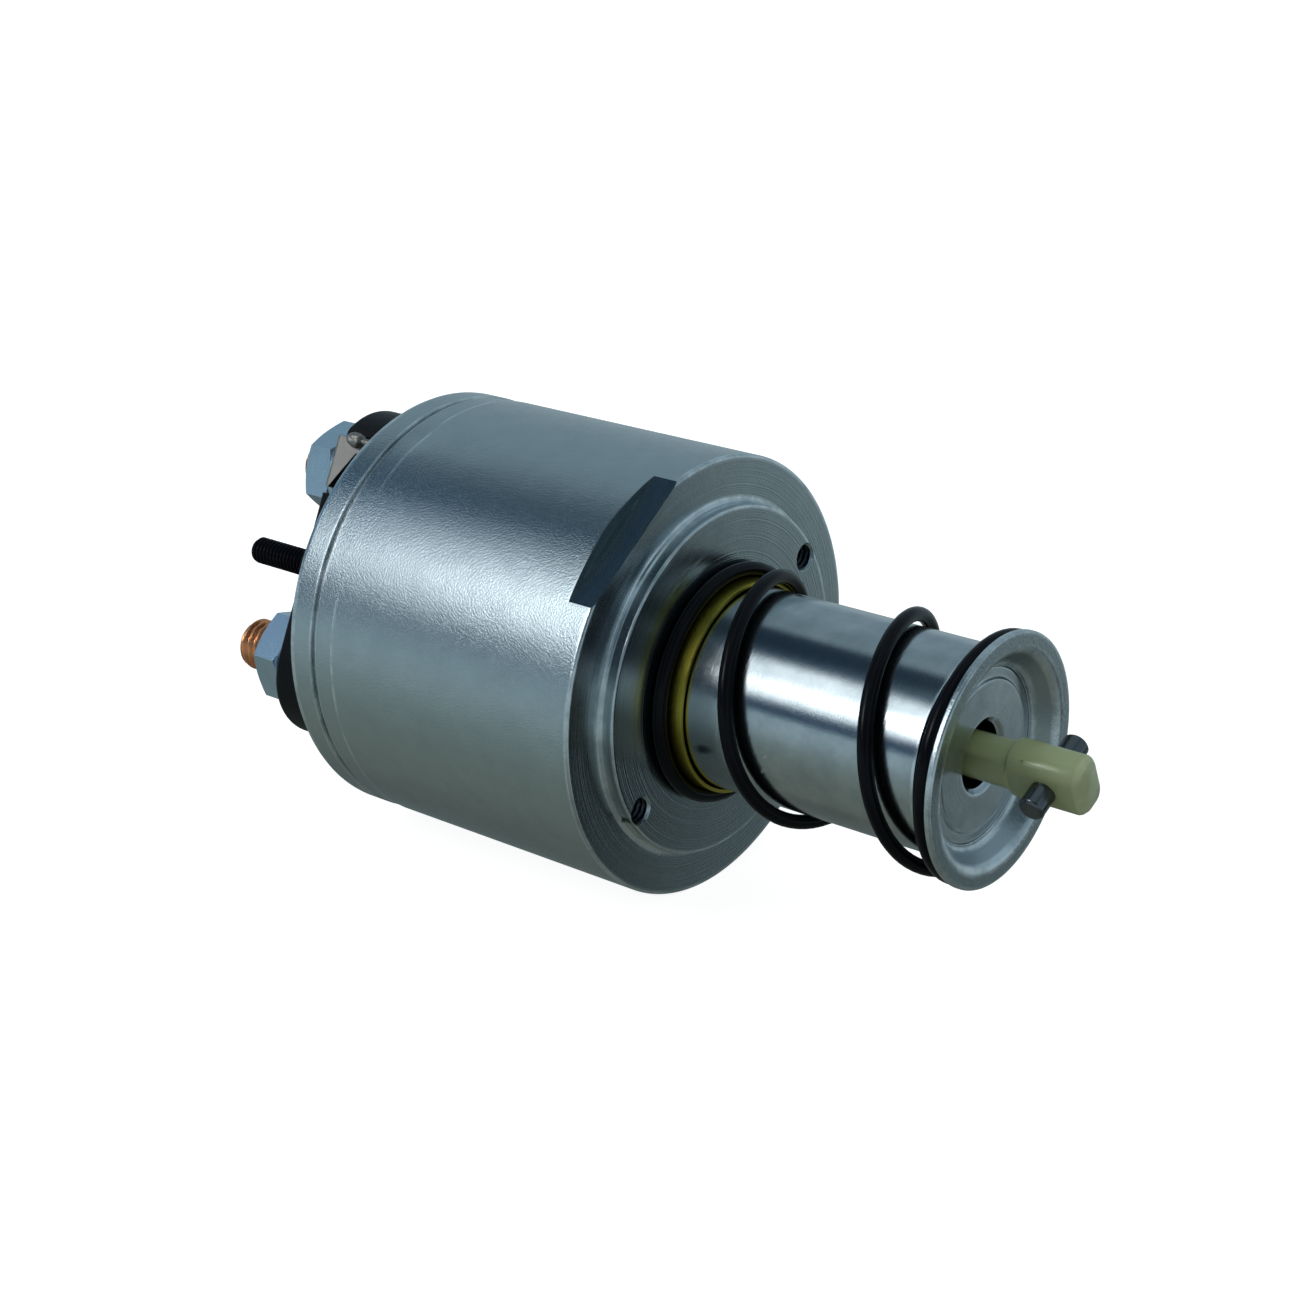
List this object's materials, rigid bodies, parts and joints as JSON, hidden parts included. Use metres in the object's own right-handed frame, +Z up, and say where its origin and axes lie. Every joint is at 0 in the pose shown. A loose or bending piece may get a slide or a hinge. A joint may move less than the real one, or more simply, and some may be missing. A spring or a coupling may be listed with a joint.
{
  "type": "starter solenoid",
  "caption": "Starter motor solenoid: a steel can with a sprung plunger and nylon drawbar in front and copper terminals on a moulded cap behind.",
  "frame": {"origin": "centre of the boss face that bolts to the starter housing", "axes": "+X out of the boss face along the plunger, +Z up, +Y to the left seen from the front"},
  "size_m": [0.1443, 0.062, 0.062],
  "materials": {
    "zinc_steel": "satin zinc plate over turned steel",
    "plated_fastener": "bright zinc plate",
    "bare_steel": "plain turned steel",
    "black_steel": "black spring wire",
    "copper": "bare copper, thread rolled",
    "winding_copper": "enamelled copper wire",
    "tinned_copper": "dull tin with solder",
    "brass_tube": "drawn brass",
    "black_moulding": "moulded black thermoset",
    "natural_nylon": "natural nylon, yellow green",
    "insulation": "insulating board and paper",
    "gasket_rubber": "nitrile sheet"
  },
  "bodies": {
    "can": {"housing": "zinc_steel", "guide_tube": "brass_tube", "coil_bobbin": "black_moulding", "hold_in_winding": "winding_copper", "pull_in_winding": "winding_copper", "coil_wrap": "insulation", "fixed_core": "bare_steel", "cap_gasket": "gasket_rubber", "terminal_cap": "black_moulding", "battery_stud": "copper", "motor_stud": "copper", "battery_nut": "plated_fastener", "motor_nut": "plated_fastener", "battery_lock_washer": "plated_fastener", "motor_lock_washer": "plated_fastener", "battery_flat_washer": "plated_fastener", "motor_tag": "tinned_copper", "pull_in_lead": "tinned_copper", "control_lead": "tinned_copper", "control_stud": "black_steel", "contact_return_spring": "bare_steel", "return_spring": "black_steel"},
    "contact_group": {"contact_rod": "bare_steel", "contact_bush": "insulation", "contact_plate": "copper", "contact_washer": "insulation", "contact_clip": "bare_steel", "contact_pressure_spring": "bare_steel"},
    "plunger_group": {"plunger": "zinc_steel", "plunger_plug": "bare_steel", "spring_cup": "zinc_steel", "engagement_spring": "bare_steel"},
    "drawbar_carrier": {"drawbar_washer": "bare_steel"},
    "drawbar_group": {"drawbar": "natural_nylon", "cross_pin": "bare_steel", "drawbar_clip": "bare_steel"}
  },
  "joints": [
    {"name": "plunger_slide", "type": "slide", "parent": "can", "child": "plunger_group", "axis": [1, 0, 0], "range_m": [-0.012, 0], "stiffness_N_per_m": 900, "springref_m": 0.02, "deforming": ["return_spring"]},
    {"name": "contact_slide", "type": "slide", "parent": "can", "child": "contact_group", "axis": [1, 0, 0], "range_m": [-0.003, 0], "deforming": ["contact_return_spring"]},
    {"name": "drawbar_slide", "type": "slide", "parent": "plunger_group", "child": "drawbar_carrier", "axis": [1, 0, 0], "range_m": [0, 0.008], "stiffness_N_per_m": 2500, "springref_m": -0.008, "deforming": ["engagement_spring"]},
    {"name": "drawbar_swivel", "type": "hinge", "parent": "drawbar_carrier", "child": "drawbar_group", "pos_m": [0.02, 0, 0], "axis": [1, 0, 0], "continuous": true}
  ],
  "couplings": [
    {"joint": "contact_slide", "follows": "plunger_slide", "ratio": 0.25}
  ]
}
